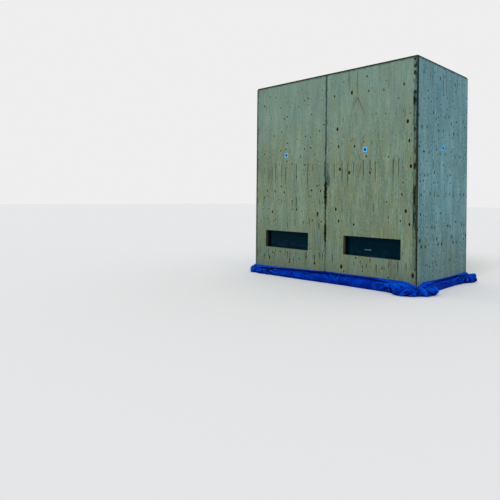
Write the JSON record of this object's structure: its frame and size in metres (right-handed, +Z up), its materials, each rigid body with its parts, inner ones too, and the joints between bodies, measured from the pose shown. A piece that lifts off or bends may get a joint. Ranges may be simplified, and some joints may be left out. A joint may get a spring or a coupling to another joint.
{
  "type": "ice fishing hut",
  "caption": "Small flat-roofed plywood hut on timber runners, with low strip windows, a plain plywood door in one end and a blue tarpaulin skirt banked round its foot.",
  "frame": {"origin": "on the ice under the middle of the hut, at the centre of the base of the whole part", "axes": "+Z up, X along the long walls, -Y out of the wall with the two windows, -X out of the end with the door"},
  "size_m": [2.7496, 1.5046, 2.4935],
  "materials": {
    "plywood": "weathered bare softwood plywood with knots and checks",
    "timber": "rough sawn softwood",
    "pane": "dark tinted acrylic sheet",
    "tarpaulin": "glossy woven polyethylene, creased",
    "marker_plastic": "pale plastic plate with a blue disc",
    "ironwork": "black painted steel, lightly rusted"
  },
  "bodies": {
    "root": {"back_bottom_plate": "timber", "back_sheet_left": "plywood", "back_sheet_right": "plywood", "back_studs": "timber", "back_top_plate": "timber", "door_hasp": "ironwork", "door_jambs": "timber", "door_leaf": "plywood", "door_ledges": "timber", "door_lintel": "timber", "door_pull": "ironwork", "floor_sheet": "plywood", "front_bottom_plate": "timber", "front_sheet_left": "plywood", "front_sheet_right": "plywood", "front_studs": "timber", "front_top_plate": "timber", "hasp_staple": "ironwork", "hinge_flanges": "ironwork", "hinge_pins": "ironwork", "hinge_straps": "ironwork", "left_bottom_plate": "timber", "left_sheet": "plywood", "left_top_plate": "timber", "marker_left": "marker_plastic", "marker_right": "marker_plastic", "marker_side": "marker_plastic", "rafters": "timber", "right_bottom_plate": "timber", "right_sheet": "plywood", "right_stud": "timber", "right_top_plate": "timber", "roof_sheet": "plywood", "runner_back": "timber", "runner_front": "timber", "runner_middle": "timber", "skirt_back": "tarpaulin", "skirt_corners": "tarpaulin", "skirt_front": "tarpaulin", "skirt_left": "tarpaulin", "skirt_right": "tarpaulin", "window_pane_left": "pane", "window_pane_right": "pane", "window_rails": "timber"}
  },
  "joints": []
}
